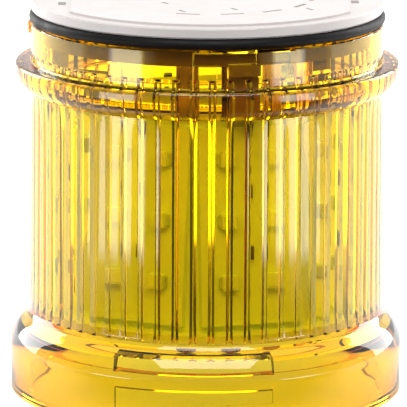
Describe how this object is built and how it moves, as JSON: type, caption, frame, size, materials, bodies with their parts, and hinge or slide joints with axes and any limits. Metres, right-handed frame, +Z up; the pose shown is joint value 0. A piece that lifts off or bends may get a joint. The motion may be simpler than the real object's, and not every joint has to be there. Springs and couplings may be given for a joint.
{
  "type": "stack light module",
  "caption": "Transparent yellow light module of a signal tower: ribbed lens with skirt and neck, LED mast inside, grey contact cap and sealing ring.",
  "frame": {"origin": "on the module's axis, in the plane of the skirt's lower edge", "axes": "+Z up the axis towards the contact cap; -Y is the side with a sealing relief near its middle; angles run from -Y towards +X"},
  "size_m": [0.073, 0.073, 0.0736],
  "materials": {
    "lens_yellow": "clear moulded polycarbonate, gloss",
    "cap_grey": "fine satin moulding",
    "holder_grey": "satin dark moulding",
    "seal_black": "smooth moulded rubber",
    "insert_white": "satin white moulding",
    "carrier_black": "matte black moulding",
    "board_white": "white solder mask",
    "board_green": "green solder mask, semi-gloss",
    "led_body": "white package with a clear window",
    "chip_black": "moulded epoxy",
    "contact_brass": "rolled strip, lightly tarnished",
    "spring_steel": "drawn wire",
    "screw_steel": "zinc plated",
    "capacitor_sleeve": "can with printed sleeve left plain",
    "ferrite": "sintered ferrite"
  },
  "bodies": {
    "lens": {"lens_body": "lens_yellow"},
    "insert": {"contact_cap": "cap_grey", "cap_holder": "holder_grey", "seal_ring": "seal_black", "led_mast": "insert_white", "insert_base": "insert_white", "contact_carrier": "carrier_black", "driver_board": "board_green", "driver_screws": "screw_steel", "capacitor": "capacitor_sleeve", "inductor": "ferrite", "rectifier": "chip_black", "regulator": "chip_black", "led_board_1": "board_white", "led_group_1": "led_body", "resistor_group_1": "chip_black", "led_board_2": "board_white", "led_group_2": "led_body", "resistor_group_2": "chip_black", "led_board_3": "board_white", "led_group_3": "led_body", "resistor_group_3": "chip_black", "led_board_4": "board_white", "led_group_4": "led_body", "resistor_group_4": "chip_black", "led_board_5": "board_white", "led_group_5": "led_body", "resistor_group_5": "chip_black", "led_board_6": "board_white", "led_group_6": "led_body", "resistor_group_6": "chip_black", "led_board_7": "board_white", "led_group_7": "led_body", "resistor_group_7": "chip_black", "led_board_8": "board_white", "led_group_8": "led_body", "resistor_group_8": "chip_black", "bus_bar_1": "contact_brass", "contact_spring_1": "spring_steel", "bus_bar_2": "contact_brass", "contact_spring_2": "spring_steel", "bus_bar_3": "contact_brass", "contact_spring_3": "spring_steel", "bus_bar_4": "contact_brass", "contact_spring_4": "spring_steel", "bus_bar_5": "contact_brass", "contact_spring_5": "spring_steel", "bus_bar_6": "contact_brass", "contact_spring_6": "spring_steel"},
    "blade_1": {"contact_blade_1": "contact_brass"},
    "blade_2": {"contact_blade_2": "contact_brass"},
    "blade_3": {"contact_blade_3": "contact_brass"},
    "blade_4": {"contact_blade_4": "contact_brass"},
    "blade_5": {"contact_blade_5": "contact_brass"},
    "blade_6": {"contact_blade_6": "contact_brass"}
  },
  "joints": [
    {"name": "insert_turn", "type": "hinge", "parent": "lens", "child": "insert", "pos_m": [0, 0, 0.065], "axis": [0, 0, 1], "range_deg": [0, 9.5]},
    {"name": "blade_1_slide", "type": "slide", "parent": "insert", "child": "blade_1", "axis": [0, 0, 1], "range_m": [0, 0.0015], "stiffness_N_per_m": 500, "springref_m": -0.002, "deforming": ["contact_spring_1"]},
    {"name": "blade_2_slide", "type": "slide", "parent": "insert", "child": "blade_2", "axis": [0, 0, 1], "range_m": [0, 0.0015], "stiffness_N_per_m": 500, "springref_m": -0.002, "deforming": ["contact_spring_2"]},
    {"name": "blade_3_slide", "type": "slide", "parent": "insert", "child": "blade_3", "axis": [0, 0, 1], "range_m": [0, 0.0015], "stiffness_N_per_m": 500, "springref_m": -0.002, "deforming": ["contact_spring_3"]},
    {"name": "blade_4_slide", "type": "slide", "parent": "insert", "child": "blade_4", "axis": [0, 0, 1], "range_m": [0, 0.0015], "stiffness_N_per_m": 500, "springref_m": -0.002, "deforming": ["contact_spring_4"]},
    {"name": "blade_5_slide", "type": "slide", "parent": "insert", "child": "blade_5", "axis": [0, 0, 1], "range_m": [0, 0.0015], "stiffness_N_per_m": 500, "springref_m": -0.002, "deforming": ["contact_spring_5"]},
    {"name": "blade_6_slide", "type": "slide", "parent": "insert", "child": "blade_6", "axis": [0, 0, 1], "range_m": [0, 0.0015], "stiffness_N_per_m": 500, "springref_m": -0.002, "deforming": ["contact_spring_6"]}
  ]
}
